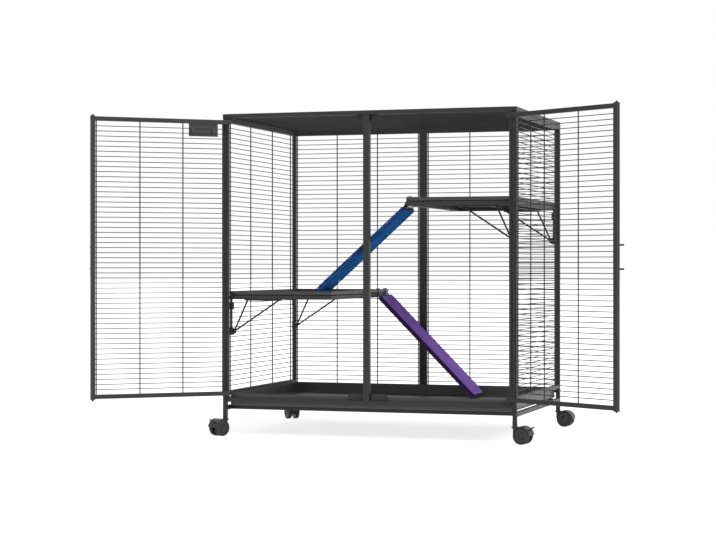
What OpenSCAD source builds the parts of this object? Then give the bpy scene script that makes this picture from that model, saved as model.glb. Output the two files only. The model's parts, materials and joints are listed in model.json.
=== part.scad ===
// Wire ferret cage on casters: a square-tube frame with two front doors, two half-width shelves
// and two fabric-covered ramps. Millimetres. The origin is on the floor under the cage's centre.
// +X is the right-hand side seen from the front, +Y goes to the back and +Z is up.

/* [Cage] */
// Width over the corner posts
cage_w = 914; // [860:1:1000]
// Depth over the corner posts
cage_d = 635; // [580:1:700]
// Height from the floor to the top of the roof
cage_h = 978; // [930:1:1060]
// Outside size of the square frame tube
tube = 12.7; // [11.5:0.1:14]
// Wall of every square tube
tube_wall = 1.2; // [0.9:0.1:1.5]
// Outside size of the front centre post
centre_post = 19; // [17:0.5:21]
// Corner length of a leg socket or a post plug inside its tube
plug_l = 22; // [16:1:30]

/* [Wire] */
// Thickness of the mesh wire
wire_d = 2.3; // [1.8:0.1:2.8]
// Pitch of the mesh wires
wire_pitch = 15; // [13:0.5:24]
// Thickness of the rods that carry the mesh
rod_d = 3.4; // [3:0.1:4.5]
// How deep a weld sinks one wire into the next
weld = 0.4; // [0.3:0.05:0.6]
// Gap between a corner post and the first rod of a side
edge_gap = 32.1; // [22:0.1:45]

/* [Base] */
// Top of the front sill above the floor
sill_top = 115; // [110:1:122]
// Underside of the base frame above the floor
base_z = 78; // [72:1:84]
// Top of the bottom rail of a side panel above the floor
side_rail_top = 135; // [132:1:142]
// Top of the bottom rail of a back panel above the floor
back_rail_top = 121; // [116:1:126]
// Distance of the cross bearers from the front and back faces
bearer_inset = 44; // [30:1:70]
// Rim height of the base pan above its underside
pan_h = 36; // [30:1:38]
// Sheet thickness of the pans
pan_t = 2; // [1.5:0.1:2.6]
// Clearance of the base pan inside the frame
pan_gap = 3; // [2.5:0.5:6]

/* [Doors] */
// Gap between the frame and a door at its top and bottom
door_gap = 4.9; // [4.5:0.1:8]
// Gap between the front centre post and a closed door
door_side_gap = 2.1; // [1:0.1:4]
// Diameter of the hinge rod
hinge_d = 8; // [7:0.5:9]
// Diameter of the hinge rod's pivots
pivot_d = 6; // [5:0.5:6.5]
// Gap between the hinge rod and the post
hinge_gap = 1.5; // [1:0.1:3]
// Thickness of a hinge plate
hinge_plate_t = 3; // [2:0.5:4]
// Height of a latch guide's head on the end of the stile
guide_head = 2.6; // [2:0.1:4]
// How far the hinge axis lies in front of the door's outer face
axis_lead = 0.65; // [0.3:0.05:1.5]
// Gap between the hinge rod and the door's nearest mesh rod
edge_rod_gap = 14.3; // [8:0.1:20]
// Left door's opening angle
left_open = 140.7; // [0:1:179]
// Right door's opening angle
right_open = 147; // [0:1:179]
// Name plate width
plate_w = 91; // [70:1:100]
// Name plate height
plate_h = 38; // [30:1:60]
// Name plate thickness
plate_t = 2; // [1:0.5:3]
// Gap between the name plate and the door's top rail
plate_drop = 0.3; // [0.3:0.1:60]
// Gap between the name plate and the rod beside it
plate_side_gap = 13.8; // [1:0.1:16]

/* [Latches] */
// Diameter of a latch rod
latch_d = 6; // [5:0.5:6.5]
// How far a drawn-in pin stands out of its guide
pin_out = 4.1; // [3:0.1:4.2]
// Travel of a latch rod
latch_travel = 8; // [6:0.5:10]
// Diameter of a finger stud
stud_d = 5.5; // [4.5:0.5:6]
// Length of a finger stud outside the door
stud_l = 22; // [16:1:28]
// Height of the point between the two studs above the floor
stud_mid_z = 540; // [450:1:620]
// Distance between the two studs of a door
stud_gap = 66; // [60:1:90]
// Clearance around a keeper hole's pin
keeper_gap = 0.75; // [0.5:0.05:1]
// Turns of a latch spring
spring_turns = 9; // [6:1:14]
// Wire of a latch spring
spring_wire = 1; // [0.8:0.1:1.2]
// Outside diameter of a latch spring
spring_d = 8; // [6.5:0.5:8]

/* [Shelves] */
// Underside of the left shelf above the floor
left_shelf_z = 414; // [380:1:450]
// Underside of the right shelf above the floor
right_shelf_z = 694; // [660:1:740]
// Inner end of the left shelf, from the cage's middle
left_shelf_end = 115; // [100:1:140]
// Inner end of the right shelf, from the cage's middle
right_shelf_end = 118; // [100:1:140]
// Height of a shelf pan
shelf_pan_h = 12.5; // [10:0.5:18]
// Pitch of the wires in a shelf
shelf_pitch = 25.4; // [20:0.2:30]
// Gap between a shelf and the corner posts
shelf_gap = 4.5; // [4:0.5:8]
// Gap between a shelf and the side mesh's plane
shelf_side_gap = 0.8; // [0.6:0.1:2]
// Thickness of the shelf struts
strut_d = 5; // [4:0.5:6]
// Drop of the lower shelf bracket below the shelf
bracket_drop = 98; // [80:1:120]
// Drop of the upper shelf bracket below the shelf
bracket_near = 20; // [16:1:26]
// Gap between a shelf bracket and the corner post
bracket_gap = 15; // [4:0.5:24]
// Size of a shelf bracket along the depth
bracket_w = 14; // [12:1:16]
// Height of a shelf bracket's block
bracket_h = 22; // [18:1:24]
// Size of a shelf bracket across the cage
bracket_t = 11; // [9:0.5:13]
// Reach of the short strut from the side
strut_near = 58; // [50:1:70]
// Reach of the long strut from the side
strut_far = 160; // [140:1:180]

/* [Ramps] */
// Thickness of a covered ramp
ramp_t = 18; // [16:0.5:20]
// Thickness of a ramp's board
board_t = 6; // [5:0.5:8]
// Width of the upper ramp
upper_ramp_w = 112; // [100:1:150]
// Width of the lower ramp
lower_ramp_w = 136; // [120:1:160]
// Gap between the upper ramp and the front centre post
upper_ramp_gap = 4.5; // [3:0.5:24]
// Gap between the lower ramp and the back frame
lower_ramp_gap = 12.8; // [8:0.1:30]
// Slope of the upper ramp
upper_slope = 42; // [40:0.5:45]
// Depth of the upper ramp's head below the right shelf's underside
upper_head_drop = 12.5; // [6:0.5:20]
// Slope of the lower ramp
lower_slope = 45.3; // [44:0.1:50]
// Wire of a ramp's hooks
hook_d = 4; // [3:0.5:5]
// Clearance inside a hook
hook_gap = 2.8; // [2.6:0.1:4]

/* [Casters] */
// Diameter of a wheel
wheel_d = 50; // [46:1:52]
// Thickness of one wheel of a pair
wheel_t = 13; // [11:0.5:15]
// Thickness of the web between the wheels
web_t = 8; // [7:0.5:10]
// Distance from the swivel axis to the axle
trail = 25; // [22:0.5:28]
// Diameter of a caster's stem
stem_d = 8; // [7:0.5:8]
// Diameter of an axle
axle_d = 6; // [5:0.5:7]
// Thickness of a hood
hood_t = 2; // [1.5:0.1:2.5]
// Headings of the casters: front left, front right, back left, back right
headings = [243, 350, 130, 355];

/* [Hidden] */

charcoal = [0.23, 0.23, 0.225];
steel = [0.62, 0.62, 0.62];
black = [0.09, 0.09, 0.09];

fit = 0.05;              // radial clearance of a turning or sliding fit
seat = 0.3;              // gap between two pieces that only rest on each other
rod_gap = 2.5;           // gap between a panel's outer rod and the tube beside it
side_rods = [-1, -0.36, 0.36, 1];   // places of a side panel's rods, 1 is the outer one
door_rods = [0, 0.32, 0.66, 1];     // places of a door's rods, from the hinge to the free end
eps = 0.01;              // overshoot of a cut
octagon = 1 / cos(22.5); // turns a wire's thickness across flats into its corner diameter

post_x = (cage_w - tube) / 2;
post_y = (cage_d - tube) / 2;
inner_x = cage_w / 2 - tube;
inner_y = cage_d / 2 - tube;
roof_z = cage_h - tube;
caster_h = wheel_d;
socket_head = 2;
leg_z = caster_h + socket_head;
inside = tube - 2 * tube_wall;
mesh_shift = (rod_d + wire_d) / 2 - weld;

// Doors, in a right-hand door's own frame: the hinge axis is the origin, the door reaches
// towards -X, its outer side faces -Y and its tubes' middle plane is at +Y.
axis_x = inner_x - hinge_gap - hinge_d / 2;
axis_out = tube / 2 + axis_lead;
axis_y = -post_y - axis_out;
door_w = axis_x - centre_post / 2 - door_side_gap;
door_z0 = sill_top + door_gap + guide_head;
door_z1 = roof_z - door_gap - guide_head;
stile_x = -door_w + tube / 2;
rail_end = hinge_d / 2 - 0.5;
edge_rod_x = -hinge_d / 2 - rod_d / 2 - edge_rod_gap;
last_rod_x = -door_w + tube + rod_d / 2 + rod_gap;
pin_top = door_z1 + guide_head + pin_out;
pin_bottom = door_z0 - guide_head - pin_out;
pin_x = axis_x + stile_x;

// Shelves
shelf_out = inner_x - shelf_side_gap;
shelf_y = inner_y - shelf_gap;
left_rim = left_shelf_z + tube + shelf_pan_h;
right_rim = right_shelf_z + tube + shelf_pan_h;
pan_z = base_z + tube;
mesh_in = post_x - mesh_shift - wire_d / 2;
bracket_y = inner_y - bracket_gap - bracket_w / 2;
upper_ramp_y = cage_d / 2 - centre_post - upper_ramp_gap - upper_ramp_w / 2;
lower_ramp_y = inner_y - lower_ramp_gap - lower_ramp_w / 2;

// One slice of a wire or rod along each axis, thickness measured across the flats
module rod_along_z(x, y, z0, z1, d) {
    translate([x, y, z0]) rotate(22.5) cylinder(d = d * octagon, h = z1 - z0, $fn = 8);
}
module rod_along_x(x0, x1, y, z, d) {
    translate([x0, y, z]) rotate([0, 90, 0]) rotate(22.5)
        cylinder(d = d * octagon, h = x1 - x0, $fn = 8);
}
module rod_along_y(x, y0, y1, z, d) {
    translate([x, y0, z]) rotate([-90, 0, 0]) rotate(22.5)
        cylinder(d = d * octagon, h = y1 - y0, $fn = 8);
}

// A box from its two corners, for square tubes and their bores
module box(a, b) {
    translate(a) cube(b - a);
}
module bar_x(x0, x1, y, z, s) {
    box([x0, y - s / 2, z - s / 2], [x1, y + s / 2, z + s / 2]);
}
module bar_y(x, y0, y1, z, s) {
    box([x - s / 2, y0, z - s / 2], [x + s / 2, y1, z + s / 2]);
}
module bar_z(x, y, z0, z1, s) {
    box([x - s / 2, y - s / 2, z0], [x + s / 2, y + s / 2, z1]);
}

// Evenly spread places: as many steps as fit the pitch, without the two ends
function spread(a, b, pitch) =
    let (n = max(1, round((b - a) / pitch))) [for (i = [1:n - 1]) a + (b - a) * i / n];

// The four corners as [side, end]: -1 is left or front, 1 is right or back
CORNERS = [[-1, -1], [1, -1], [-1, 1], [1, 1]];

// ---------------------------------------------------------------- frame
module corner_posts() {
    color(charcoal)
    for (c = CORNERS) difference() {
        bar_z(c[0] * post_x, c[1] * post_y, leg_z, roof_z, tube);
        bar_z(c[0] * post_x, c[1] * post_y, leg_z - eps, roof_z + eps, inside);
        if (c[1] > 0) post_bolt_at(c[0]) rotate([0, -90 * c[0], 0])
            translate([0, 0, -1]) cylinder(r = bolt_d / 2 + bolt_gap, h = tube + 2, $fn = 24);
    }
}

// A back panel is held by a bolt through the post into its bottom rail's end and by a sunk bolt
// from the roof into its top rail
bolt_d = 5;
bolt_gap = 0.2;
bolt_nut = 4;
rail_nut_l = 12;
roof_bolt_d = 6;
sunk_head = [9.5, 4.5];
module post_bolt_at(side) {
    translate([side * cage_w / 2, post_y, back_rail_top - tube / 2]) children();
}
module panel_roof_bolt_at(side) {
    translate([side * inner_x / 2, post_y, roof_z + tube_wall]) children();
}
module sunk_bolt(d, l) {
    difference() {
        union() {
            cylinder(d = sunk_head[0], h = sunk_head[1], $fn = 32);
            translate([0, 0, -l]) cylinder(d = d, h = l + 1, $fn = 32);
        }
        translate([0, 0, sunk_head[1] - 2.5]) cylinder(d = 4.6, h = 3, $fn = 6);
    }
}
// The head goes in through the roof tube's upper wall and seats on its lower wall
module sunk_bolt_hole(d, gap) {
    translate([0, 0, -tube_wall - 1]) cylinder(r = d / 2 + gap, h = tube / 2, $fn = 32);
    cylinder(r = sunk_head[0] / 2 + seat, h = tube, $fn = 32);
}

module post_plugs() {
    color(black)
    for (c = CORNERS) translate([c[0] * post_x, c[1] * post_y, 0]) difference() {
        bar_z(0, 0, roof_z - plug_l, roof_z, inside - 0.1);
        translate([0, 0, roof_z - plug_l - 1]) cylinder(r = roof_bolt_d / 2 + fit, h = plug_l + 2, $fn = 32);
    }
}

module leg_sockets() {
    color(black)
    for (c = CORNERS) translate([c[0] * post_x, c[1] * post_y, 0]) difference() {
        union() {
            bar_z(0, 0, leg_z - eps, leg_z + plug_l, inside - 0.1);
            bar_z(0, 0, caster_h, leg_z, tube);
        }
        translate([0, 0, caster_h - 1]) cylinder(r = stem_d / 2, h = plug_l + socket_head + 2, $fn = 32);
    }
}

// Side panel: top and bottom rails, four rods and the mesh, welded together
module side_panel(side) {
    z_top = roof_z - tube;
    rod_y = side_rods * (inner_y - edge_gap - rod_d / 2);
    color(charcoal) union() {
        for (z = [side_rail_top - tube / 2, z_top + tube / 2]) difference() {
            bar_y(side * post_x, -inner_y, inner_y, z, tube);
            bar_y(side * post_x, -inner_y - eps, inner_y + eps, z, inside);
        }
        for (y = rod_y) rod_along_z(side * post_x, y, side_rail_top - weld, z_top + weld, rod_d);
        for (z = spread(side_rail_top, z_top, wire_pitch))
            rod_along_y(side * (post_x - mesh_shift), -inner_y, inner_y, z, wire_d);
    }
}
module left_side_panel() { side_panel(-1); }
module right_side_panel() { side_panel(1); }

// Back panel: a middle stile, two rails, rods and mesh, from the cage's middle to a back post
module back_panel(side) {
    x0 = 0.2;
    z0 = back_rail_top - tube;
    zc = [z0 + tube / 2, roof_z - tube / 2];
    xc = x0 + tube / 2;
    rod_x0 = x0 + tube + rod_gap + rod_d / 2;
    rod_x1 = inner_x - rod_gap - rod_d / 2;
    color(charcoal) mirror([side < 0 ? 1 : 0, 0, 0]) difference() {
        union() {
            bar_z(xc, post_y, z0, roof_z, tube);
            for (z = zc) bar_x(xc, inner_x, post_y, z, tube);
            for (i = [0:3]) rod_along_z(rod_x0 + i / 3 * (rod_x1 - rod_x0), post_y,
                back_rail_top - weld, roof_z - tube + weld, rod_d);
            for (z = spread(back_rail_top, roof_z - tube, wire_pitch))
                rod_along_x(x0 + tube - weld, inner_x, post_y - mesh_shift, z, wire_d);
        }
        bar_z(xc, post_y, z0 - eps, roof_z + eps, inside);
        for (z = zc) bar_x(xc, inner_x + eps, post_y, z, inside);
        panel_roof_bolt_at(1) translate([0, 0, -tube]) cylinder(r = bolt_d / 2 + bolt_gap, h = 2 * tube, $fn = 24);
    }
}
module back_left_panel() { back_panel(-1); }
module back_right_panel() { back_panel(1); }

// Roof: a ring of tube on the posts' ends, with wires across the width on cross rods
module roof_panel() {
    zc = roof_z + tube / 2;
    rods = 5;
    color(charcoal) difference() {
        union() {
            difference() {
                box([-cage_w / 2, -cage_d / 2, roof_z], [cage_w / 2, cage_d / 2, cage_h]);
                box([-inner_x, -inner_y, roof_z - 1], [inner_x, inner_y, cage_h + 1]);
            }
            for (i = [1:rods]) rod_along_y(
                -inner_x + 2 * inner_x * i / (rods + 1), -inner_y - weld, inner_y + weld, zc, rod_d);
            for (y = spread(-inner_y, inner_y, wire_pitch))
                rod_along_x(-inner_x - weld, inner_x + weld, y, zc - mesh_shift, wire_d);
        }
        for (s = [-1, 1]) {
            bar_x(-post_x - inside / 2, post_x + inside / 2, s * post_y, zc, inside);
            bar_y(s * post_x, -post_y, post_y, zc, inside);
            translate([s * pin_x, -post_y, roof_z - 1])
                cylinder(r = latch_d / 2 + keeper_gap, h = tube / 2, $fn = 32);
        }
        for (c = CORNERS) translate([c[0] * post_x, c[1] * post_y, roof_z + tube_wall])
            sunk_bolt_hole(roof_bolt_d, fit);
        for (s = [-1, 1]) panel_roof_bolt_at(s) sunk_bolt_hole(bolt_d, bolt_gap);
    }
}

module roof_bolts() {
    color(steel)
    for (c = CORNERS) translate([c[0] * post_x, c[1] * post_y, roof_z + tube_wall])
        sunk_bolt(roof_bolt_d, plug_l + tube_wall - 2);
}

module panel_bolts() {
    color(steel) for (s = [-1, 1]) {
        post_bolt_at(s) {
            rotate([0, 90 * s, 0]) cylinder(d1 = 9.5, d2 = 6, h = 2, $fn = 32);
            rotate([0, -90 * s, 0]) cylinder(d = bolt_d, h = tube + rail_nut_l, $fn = 32);
            rotate([0, -90 * s, 0]) bar_z(0, 0, tube, tube + rail_nut_l, inside - 0.1);
        }
        panel_roof_bolt_at(s) {
            sunk_bolt(bolt_d, 2 * tube_wall + bolt_nut);
            translate([0, 0, -2 * tube_wall - bolt_nut]) cylinder(d = 1.8 * bolt_d, h = bolt_nut, $fn = 6);
        }
    }
}

module centre_post() {
    y = -cage_d / 2 + centre_post / 2;
    color(charcoal) difference() {
        bar_z(0, y, sill_top, roof_z, centre_post);
        bar_z(0, y, sill_top - eps, roof_z + eps, centre_post - 2 * tube_wall);
    }
}

module front_sill() {
    z = sill_top - tube / 2;
    color(charcoal) difference() {
        bar_x(-inner_x, inner_x, -post_y, z, tube);
        bar_x(-inner_x - eps, inner_x + eps, -post_y, z, inside);
        for (s = [-1, 1]) translate([s * pin_x, -post_y, z])
            cylinder(r = latch_d / 2 + keeper_gap, h = tube, $fn = 32);
    }
}

// Base frame: rails between the legs, cross bearers and rods that carry the pan
module base_frame() {
    z = base_z + tube / 2;
    bearer_y = cage_d / 2 - bearer_inset - tube / 2;
    color(charcoal) difference() {
        union() {
            for (s = [-1, 1]) {
                bar_y(s * post_x, -inner_y, inner_y, z, tube);
                bar_x(-post_x, post_x, s * bearer_y, z, tube);
            }
            for (i = [-4:4]) rod_along_y(i * inner_x / 5, -bearer_y + tube / 2 - weld,
                bearer_y - tube / 2 + weld, base_z + tube - rod_d / 2, rod_d);
        }
        for (s = [-1, 1]) {
            bar_y(s * post_x, -inner_y - eps, inner_y + eps, z, inside);
            bar_x(-post_x, post_x, s * bearer_y, z, inside);
        }
    }
}

// An open tray: a folded sheet with a floor and four walls
module tray(x0, x1, y0, y1, z, h) {
    difference() {
        box([x0, y0, z], [x1, y1, z + h]);
        box([x0 + pan_t, y0 + pan_t, z + pan_t], [x1 - pan_t, y1 - pan_t, z + h + 1]);
    }
}

module base_pan() {
    x = inner_x - pan_gap;
    color(charcoal) tray(-x, x, centre_post + pan_gap - cage_d / 2, inner_y - pan_gap, pan_z, pan_h);
}

// Door stops: wings on the centre post, just behind the doors
module door_stop(half_w, z0, z1) {
    color(charcoal) for (s = [-1, 1]) mirror([s < 0 ? 1 : 0, 0, 0]) box(
        [centre_post / 2, -inner_y + seat, z0], [half_w, -inner_y + seat + 2, z1]);
}
top_stop = [32, 18];
bottom_stop = [60, 20];
module top_door_stop() { door_stop(top_stop[0], roof_z - top_stop[1], roof_z); }
module bottom_door_stop() { door_stop(bottom_stop[0], sill_top, sill_top + bottom_stop[1]); }

// Hinge plates: welded to the posts, one above and one below each hinge rod
module hinge_plates() {
    x1 = inner_x;
    x0 = axis_x - hinge_d / 2 - 2;
    color(charcoal) for (s = [-1, 1]) for (z = [sill_top + 1.2, roof_z - 1.2 - hinge_plate_t])
        mirror([s < 0 ? 1 : 0, 0, 0]) difference() {
            box([x0, axis_y - hinge_d / 2 - 2, z], [x1, -inner_y, z + hinge_plate_t]);
            translate([axis_x, axis_y, z - 1])
                cylinder(r = pivot_d / 2 + fit, h = hinge_plate_t + 2, $fn = 32);
        }
}

// ---------------------------------------------------------------- doors
module place_door(side) {
    open = side < 0 ? left_open : right_open;
    translate([side * axis_x, axis_y, 0]) mirror([side < 0 ? 1 : 0, 0, 0]) rotate([0, 0, open])
        children();
}

module door(side) {
    zc = [door_z0 + tube / 2, door_z1 - tube / 2];
    z_in = [door_z0 + tube, door_z1 - tube];
    color(charcoal) place_door(side) difference() {
        union() {
            bar_z(stile_x, axis_out, door_z0, door_z1, tube);
            for (z = zc) bar_x(stile_x, rail_end, axis_out, z, tube);
            for (f = door_rods) rod_along_z(edge_rod_x + f * (last_rod_x - edge_rod_x), axis_out,
                z_in[0] - weld, z_in[1] + weld, rod_d);
            for (z = spread(z_in[0], z_in[1], wire_pitch))
                rod_along_x(-door_w + tube - weld, edge_rod_x + rod_d, axis_out + mesh_shift, z, wire_d);
        }
        bar_z(stile_x, axis_out, door_z0 - eps, door_z1 + eps, inside);
        for (z = zc) bar_x(stile_x, rail_end + eps, axis_out, z, inside);
        translate([0, 0, door_z0 - 1]) cylinder(r = hinge_d / 2 + fit, h = door_z1 - door_z0 + 2, $fn = 48);
        for (up = [-1, 1]) {
            z = stud_mid_z + up * (stud_gap + latch_travel) / 2;
            box([stile_x - stud_d / 2 - 0.4, -1, z - (latch_travel + stud_d) / 2 - 0.8],
                [stile_x + stud_d / 2 + 0.4, axis_out - inside / 2 + eps, z + (latch_travel + stud_d) / 2 + 0.8]);
        }
    }
}
module left_door() { door(-1); }
module right_door() { door(1); }

// Hinge rod: welded into the door's rails, with a pivot at each end
module hinge_rod(side) {
    z0 = sill_top + 1.2;
    z1 = roof_z - 1.2;
    color(charcoal) place_door(side) {
        translate([0, 0, door_z0]) cylinder(d = hinge_d, h = door_z1 - door_z0, $fn = 48);
        translate([0, 0, z0]) cylinder(d = pivot_d, h = z1 - z0, $fn = 48);
    }
}
module left_hinge_rod() { hinge_rod(-1); }
module right_hinge_rod() { hinge_rod(1); }

// Latch guides: plugs in the stile's two ends, each with the pin's running bore
module latch_guides(side) {
    color(black) place_door(side) translate([stile_x, axis_out, 0]) for (up = [0, 1]) difference() {
        union() {
            bar_z(0, 0, up ? door_z1 - 12 : door_z0 - eps, up ? door_z1 + eps : door_z0 + 12, inside - 0.1);
            bar_z(0, 0, up ? door_z1 : door_z0 - guide_head, up ? door_z1 + guide_head : door_z0, tube);
        }
        translate([0, 0, up ? door_z1 - 13 : door_z0 - guide_head - 1])
            cylinder(r = latch_d / 2 + fit, h = 14 + guide_head, $fn = 32);
    }
}
module left_latch_guides() { latch_guides(-1); }
module right_latch_guides() { latch_guides(1); }

// Latch rod: the pin, its run inside the stile and the finger stud. up is 1 or -1
module latch_rod(side, up) {
    z = stud_mid_z + up * stud_gap / 2;
    z_in = z - up * (stud_d / 2 + 2);
    tip = up > 0 ? pin_top : pin_bottom;
    color(charcoal) place_door(side) translate([stile_x, axis_out, 0]) union() {
        translate([0, 0, min(z_in, tip)]) cylinder(d = latch_d, h = abs(tip - z_in), $fn = 32);
        translate([0, 0, z]) rotate([90, 0, 0]) cylinder(d = stud_d, h = tube / 2 + stud_l, $fn = 32);
    }
}
module left_upper_latch_rod() { latch_rod(-1, 1); }
module left_lower_latch_rod() { latch_rod(-1, -1); }
module right_upper_latch_rod() { latch_rod(1, 1); }
module right_lower_latch_rod() { latch_rod(1, -1); }

// Latch spring: one open coil between the two rods' inner ends
spring_l = stud_gap - stud_d - 4 - 2 * seat;
spring_rings = 12;
spring_sides = 6;
function spring_point(i, k) =
    let (
        turn = 360 * i / spring_rings,
        r = (spring_d - spring_wire) / 2 + spring_wire / 2 * cos(360 * k / spring_sides),
        rise = (spring_l - spring_wire) * i / (spring_rings * spring_turns)
    )
    [r * cos(turn), r * sin(turn), spring_wire / 2 + rise + spring_wire / 2 * sin(360 * k / spring_sides)];
module latch_spring(side) {
    rings = spring_rings * spring_turns;
    points = [for (i = [0:rings]) for (k = [0:spring_sides - 1]) spring_point(i, k)];
    walls = [for (i = [0:rings - 1]) for (k = [0:spring_sides - 1])
        let (a = i * spring_sides + k, b = i * spring_sides + (k + 1) % spring_sides)
        for (f = [[a, a + spring_sides, b], [b, a + spring_sides, b + spring_sides]]) f];
    caps = [for (k = [1:spring_sides - 2])
        for (f = [[0, k, k + 1], [rings * spring_sides, rings * spring_sides + k + 1, rings * spring_sides + k]]) f];
    color(steel) place_door(side) translate([stile_x, axis_out, stud_mid_z - spring_l / 2])
        polyhedron(points = points, faces = concat(walls, caps));
}
module left_latch_spring() { latch_spring(-1); }
module right_latch_spring() { latch_spring(1); }

// Bare name plate on the left door's mesh, clamped by two screws
plate_x = edge_rod_x - rod_d / 2 - plate_side_gap - plate_w;
plate_z = door_z1 - tube - plate_drop - plate_h;
plate_back = axis_out + mesh_shift - wire_d / 2;
plate_screw_x = [plate_x + 12, plate_x + plate_w - 12];
plate_screw_z = screw_height();
// The screws pass midway between the two mesh wires nearest the plate's middle
function screw_height() =
    let (
        z0 = door_z0 + tube,
        z1 = door_z1 - tube,
        n = round((z1 - z0) / wire_pitch),
        step = (z1 - z0) / n
    )
    z0 + step * (floor((plate_z + plate_h / 2 - z0) / step) + 0.5);
module name_plate() {
    color([0.13, 0.13, 0.13]) place_door(-1) difference() {
        box([plate_x, plate_back - plate_t, plate_z], [plate_x + plate_w, plate_back, plate_z + plate_h]);
        for (x = plate_screw_x) translate([x, plate_back + 1, plate_screw_z]) rotate([90, 0, 0])
            cylinder(r = 2.1, h = plate_t + 2, $fn = 24);
    }
}
module name_plate_screws() {
    washer_y = plate_back + wire_d;
    color(black) place_door(-1) for (x = plate_screw_x) translate([x, 0, plate_screw_z]) union() {
        translate([0, washer_y + 1.5, 0]) rotate([90, 0, 0])
            cylinder(d = 4, h = washer_y + 1.5 - plate_back + plate_t + 0.1, $fn = 24);
        translate([0, plate_back - plate_t, 0]) rotate([90, 0, 0]) cylinder(d1 = 8, d2 = 5, h = 2, $fn = 24);
        translate([0, washer_y + 1.5, 0]) rotate([90, 0, 0]) cylinder(d = 2 * washer_r(), h = 1.5, $fn = 32);
    }
}
// A washer reaches over the two mesh wires beside its screw
function washer_r() = wire_pitch / 2 + 1;

// ---------------------------------------------------------------- shelves
module shelf(x0, x1, z) {
    zc = z + tube / 2;
    color(charcoal) difference() {
        union() {
            difference() {
                box([x0, -shelf_y, z], [x1, shelf_y, z + tube]);
                box([x0 + tube, -shelf_y + tube, z - 1], [x1 - tube, shelf_y - tube, z + tube + 1]);
            }
            for (y = spread(-shelf_y + tube, shelf_y - tube, shelf_pitch))
                rod_along_x(x0 + tube - weld, x1 - tube + weld, y, z + tube - wire_d / 2, wire_d);
            rod_along_y((x0 + x1) / 2, -shelf_y + tube - weld, shelf_y - tube + weld,
                z + tube - wire_d - rod_d / 2 + weld, rod_d);
        }
        for (y = [-1, 1]) bar_x(x0 + tube_wall, x1 - tube_wall, y * (shelf_y - tube / 2), zc, inside);
        for (x = [x0, x1 - tube]) bar_y(x + tube / 2, -shelf_y + tube_wall, shelf_y - tube_wall, zc, inside);
        for (x = [x0, x1 - tube]) translate([x + tube / 2, 0, z - 1]) cylinder(d = 4, h = tube / 2, $fn = 24);
    }
}
module left_shelf() { shelf(-shelf_out, -left_shelf_end, left_shelf_z); }
module right_shelf() { shelf(right_shelf_end, shelf_out, right_shelf_z); }
module left_shelf_pan() {
    color(charcoal) tray(-shelf_out, -left_shelf_end, -shelf_y, shelf_y, left_shelf_z + tube, shelf_pan_h);
}
module right_shelf_pan() {
    color(charcoal) tray(right_shelf_end, shelf_out, -shelf_y, shelf_y, right_shelf_z + tube, shelf_pan_h);
}

// Two brackets a shelf, each one solid: two blocks on the side mesh joined by an upright wire
module shelf_bracket() {
    x = mesh_in - bracket_t / 2;
    for (drop = [bracket_near, bracket_drop])
        box([mesh_in - bracket_t, -bracket_w / 2, -drop - bracket_h / 2], [mesh_in, bracket_w / 2, -drop + bracket_h / 2]);
    rod_along_z(x, 0, -bracket_drop, 0, strut_d);
}
// Struts: two wires from the lower block to a foot under the shelf
module strut(reach) {
    x0 = mesh_in - bracket_t - 3;
    x1 = mesh_in - reach;
    rise = bracket_drop - 2;
    run = x0 - x1;
    translate([x0, 0, -bracket_drop]) rotate([0, -atan2(run, rise), 0]) rotate(22.5)
        cylinder(d = strut_d * octagon, h = sqrt(run * run + rise * rise), $fn = 8);
}
module shelf_strut() {
    x0 = mesh_in - bracket_t;
    strut(strut_near);
    strut(strut_far);
    box([x0 - 7, -bracket_w / 2 + 2, -bracket_drop - 7], [x0, bracket_w / 2 - 2, -bracket_drop + 7]);
    box([mesh_in - strut_far - 8, -5, -4], [mesh_in - strut_near + 8, 5, 0]);
}
module at_each_bracket() {
    for (s = [-1, 1]) for (y = [-1, 1])
        translate([0, y * bracket_y, s < 0 ? left_shelf_z : right_shelf_z])
            mirror([s < 0 ? 1 : 0, 0, 0]) children();
}
module shelf_brackets() {
    color(black) at_each_bracket() union() shelf_bracket();
}
module shelf_struts() {
    color(charcoal) at_each_bracket() union() shelf_strut();
}

// ---------------------------------------------------------------- ramps
// A ramp's own frame: the origin is the lower edge of its foot, +X runs up the slope, the ramp
// lies above its underside plane and is centred on Y = 0.
module ramp_cover(w, l) {
    side = w / 2 - ramp_t / 2;
    difference() {
        union() {
            translate([0, -side, 0]) cube([l, 2 * side, ramp_t]);
            for (y = [-side, side]) translate([0, y, ramp_t / 2]) rotate([0, 90, 0])
                cylinder(d = ramp_t, h = l, $fn = 48);
        }
        translate([3, -side - seat, (ramp_t - board_t) / 2 - seat]) cube([l, 2 * (side + seat), board_t + 2 * seat]);
    }
}
slot_l = 32;
function hook_y(w) = w / 2 - 30;
module ramp_board(w, l) {
    side = w / 2 - ramp_t / 2;
    difference() {
        translate([3 + seat, -side, (ramp_t - board_t) / 2]) cube([l - 3 - seat, 2 * side, board_t]);
        for (y = [-1, 1]) translate([l - slot_l, y * hook_y(w) - hook_d / 2 - seat, 0])
            cube([slot_l + 1, hook_d + 2 * seat, ramp_t]);
    }
}

// Upper ramp: it stands on the left shelf pan's floor and its head hangs just under the right
// shelf's end. Lower ramp: from beside the left shelf down to the base pan.
upper_foot_z = left_shelf_z + tube + pan_t + seat;
upper_head_z = right_shelf_z - upper_head_drop;
upper_l = (upper_head_z - upper_foot_z) / sin(upper_slope);
upper_foot_x = right_shelf_end - 1 - upper_l * cos(upper_slope);
lower_foot_z = pan_z + pan_t + seat;
lower_head_z = left_shelf_z - 2;
lower_l = (lower_head_z - lower_foot_z) / sin(lower_slope);
lower_foot_x = -left_shelf_end + 1 + lower_l * cos(lower_slope);

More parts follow.
